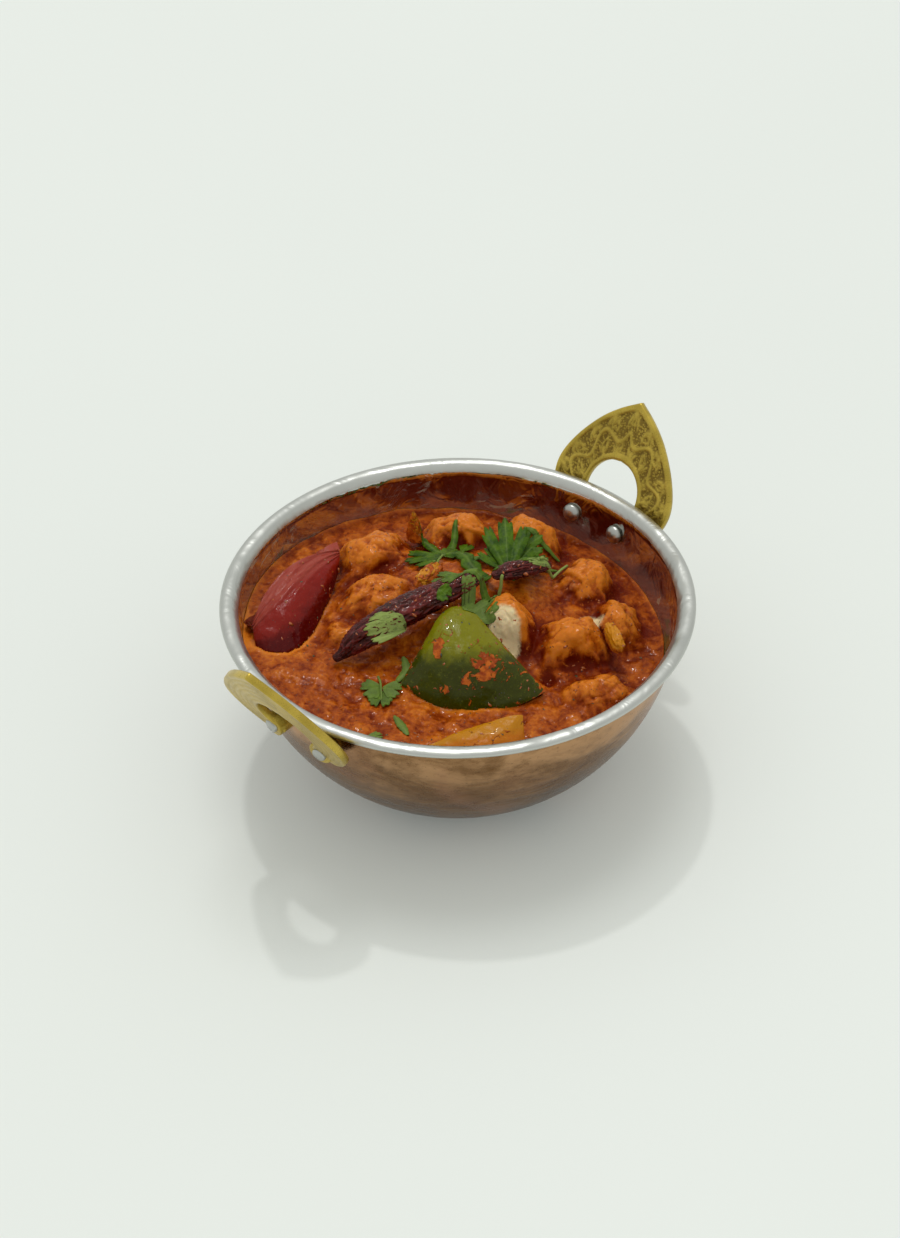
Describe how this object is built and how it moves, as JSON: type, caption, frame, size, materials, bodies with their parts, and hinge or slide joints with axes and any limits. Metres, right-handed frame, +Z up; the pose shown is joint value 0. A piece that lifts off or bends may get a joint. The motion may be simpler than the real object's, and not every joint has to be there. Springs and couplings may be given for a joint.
{
  "type": "chicken curry in a karahi bowl",
  "caption": "Round copper and steel serving bowl with pointed, pierced brass handles, filled with gravy, chicken, peppers and dried chillies.",
  "frame": {"origin": "centre of the bowl's flat base, on the surface that it stands on", "axes": "+Z up through the rim's centre, +X through both handles, +Y across them"},
  "size_m": [0.1856, 0.15, 0.0859],
  "materials": {
    "steel": "polished stainless steel",
    "copper": "tarnished polished copper",
    "brass": "cast brass with a relief pattern",
    "gravy": "oily tomato gravy",
    "chicken": "meat coated in gravy",
    "green_pepper": "cooked green pepper skin",
    "red_pepper": "cooked red pepper skin",
    "yellow_pepper": "cooked yellow pepper",
    "dried_chilli": "oily wrinkled dried chilli skin",
    "coriander": "fresh leaf"
  },
  "bodies": {
    "root": {"bowl_steel_liner": "steel", "bowl_copper_skin": "copper", "handle_left": "brass", "handle_right": "brass", "rivet_left_near": "steel", "rivet_left_far": "steel", "rivet_right_near": "steel", "rivet_right_far": "steel", "gravy": "gravy", "chicken_left_back": "chicken", "chicken_left_front": "chicken", "chicken_back": "chicken", "chicken_back_right": "chicken", "chicken_middle": "chicken", "chicken_right_back": "chicken", "chicken_right": "chicken", "chicken_right_wall": "chicken", "chicken_right_front": "chicken", "chicken_small": "chicken", "green_pepper": "green_pepper", "red_pepper": "red_pepper", "yellow_pepper_front": "yellow_pepper", "yellow_pepper_strip": "yellow_pepper", "yellow_pepper_back": "yellow_pepper", "yellow_pepper_middle": "yellow_pepper", "chilli_long": "dried_chilli", "chilli_short": "dried_chilli"}
  },
  "joints": []
}
